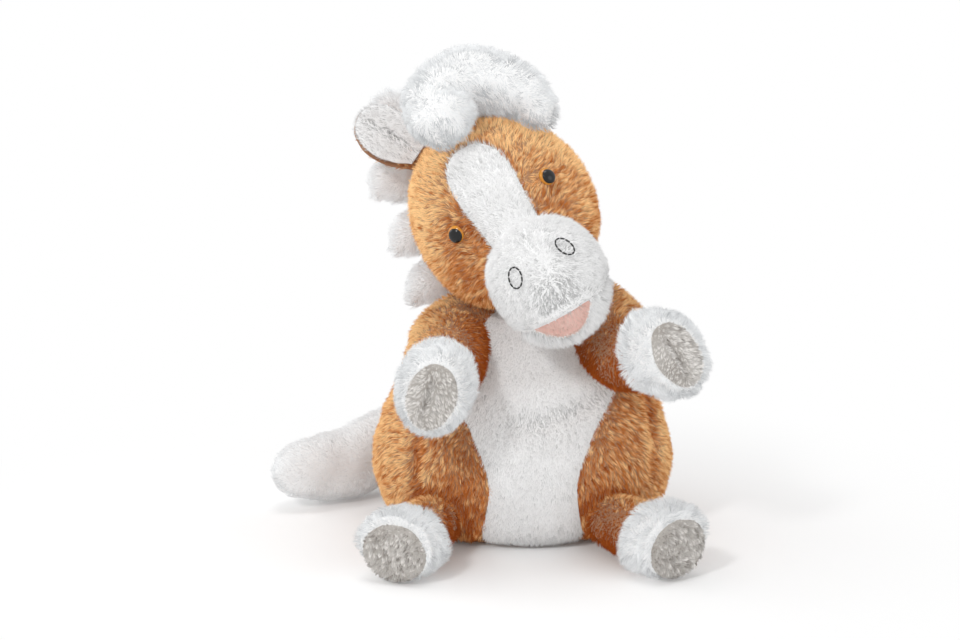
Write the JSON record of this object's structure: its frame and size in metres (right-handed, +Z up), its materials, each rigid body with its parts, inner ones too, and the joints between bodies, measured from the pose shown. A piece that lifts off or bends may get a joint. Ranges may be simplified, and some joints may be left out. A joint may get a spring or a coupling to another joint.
{
  "type": "horse hand puppet",
  "caption": "Plush horse hand puppet that sits upright with its head tilted: a hollow torso takes the hand, and finger pockets move the head and arms.",
  "frame": {"origin": "on the surface that the puppet sits on, under the middle of its bounding box", "axes": "+Z up, the face looks towards -Y, and the puppet's own left side is at +X"},
  "size_m": [0.2194, 0.1982, 0.249],
  "materials": {
    "chestnut_plush": "short chestnut pile",
    "white_plush": "short white pile",
    "white_pile": "long fluffy white pile",
    "grey_plush": "short warm grey pile",
    "pink_plush": "short pink pile",
    "filling": "polyester fibre",
    "pocket_lining": "woven lining",
    "thread": "satin stitch",
    "eye_amber": "glossy amber",
    "eye_black": "glossy black",
    "washer": "matte"
  },
  "bodies": {
    "torso": {"belly_panel": "white_plush", "side_panel_right": "chestnut_plush", "side_panel_left": "chestnut_plush", "opening_hem": "chestnut_plush"},
    "neck": {"neck_band": "chestnut_plush"},
    "head": {"face_blaze": "white_plush", "head_panel_right": "chestnut_plush", "head_panel_left": "chestnut_plush", "muzzle_cover": "white_plush", "chin_cover": "white_plush", "mouth_lining": "pink_plush", "nostril_right": "thread", "nostril_left": "thread", "head_filling": "filling", "finger_pocket": "pocket_lining", "forelock": "white_pile", "mane_lock_1": "white_pile", "mane_lock_2": "white_pile", "mane_lock_3": "white_pile", "mane_lock_4": "white_pile", "eye_right_iris": "eye_amber", "eye_right_pupil": "eye_black", "eye_right_washer": "washer", "eye_left_iris": "eye_amber", "eye_left_pupil": "eye_black", "eye_left_washer": "washer"},
    "ear_right": {"ear_right_outer": "chestnut_plush", "ear_right_lining": "white_plush"},
    "ear_left": {"ear_left_outer": "chestnut_plush", "ear_left_lining": "white_plush"},
    "arm_right": {"arm_right_sleeve": "chestnut_plush", "arm_right_cuff": "white_pile", "arm_right_sole": "grey_plush", "arm_right_filling": "filling"},
    "arm_left": {"arm_left_sleeve": "chestnut_plush", "arm_left_cuff": "white_pile", "arm_left_sole": "grey_plush", "arm_left_filling": "filling"},
    "leg_right": {"leg_right_sleeve": "chestnut_plush", "leg_right_cuff": "white_pile", "leg_right_sole": "grey_plush", "leg_right_filling": "filling"},
    "leg_left": {"leg_left_sleeve": "chestnut_plush", "leg_left_cuff": "white_pile", "leg_left_sole": "grey_plush", "leg_left_filling": "filling"},
    "tail": {"tail_cover": "white_pile", "tail_filling": "filling"}
  },
  "joints": [
    {"name": "head_tilt", "type": "hinge", "parent": "torso", "child": "neck", "pos_m": [0.03051, 0.00372, 0.1345], "axis": [0, 1, 0], "range_deg": [-2, 40]},
    {"name": "head_nod", "type": "hinge", "parent": "neck", "child": "head", "pos_m": [0.03051, 0.00372, 0.1345], "axis": [0.8434, 0.1045, 0.527], "range_deg": [-18, 3]},
    {"name": "arm_right_swing", "type": "hinge", "parent": "torso", "child": "arm_right", "pos_m": [-0.01403, -0.02739, 0.1], "axis": [-0.5736, 0, -0.8191], "range_deg": [-14, 35]},
    {"name": "arm_left_swing", "type": "hinge", "parent": "torso", "child": "arm_left", "pos_m": [0.06488, -0.02739, 0.1], "axis": [-0.5736, 0, 0.8191], "range_deg": [-14, 35]},
    {"name": "leg_right_swing", "type": "hinge", "parent": "torso", "child": "leg_right", "pos_m": [-0.02334, -0.04702, 0.0156], "axis": [-0.9397, 0.342, 0], "range_deg": [-25, 30]},
    {"name": "leg_left_swing", "type": "hinge", "parent": "torso", "child": "leg_left", "pos_m": [0.06859, -0.04729, 0.01627], "axis": [-0.848, -0.5299, 0], "range_deg": [-25, 30]},
    {"name": "tail_swing", "type": "hinge", "parent": "torso", "child": "tail", "pos_m": [0.02251, 0.06772, 0.046], "axis": [0, 0, 1], "range_deg": [-40, 6]},
    {"name": "ear_right_flop", "type": "hinge", "parent": "head", "child": "ear_right", "pos_m": [-0.02945, 0.00561, 0.19213], "axis": [0.5549, 0.0955, 0.8264], "range_deg": [-4, 30]},
    {"name": "ear_left_flop", "type": "hinge", "parent": "head", "child": "ear_left", "pos_m": [0.00429, 0.00979, 0.21321], "axis": [0.9909, 0.0824, -0.1068], "range_deg": [-25, 4]}
  ]
}
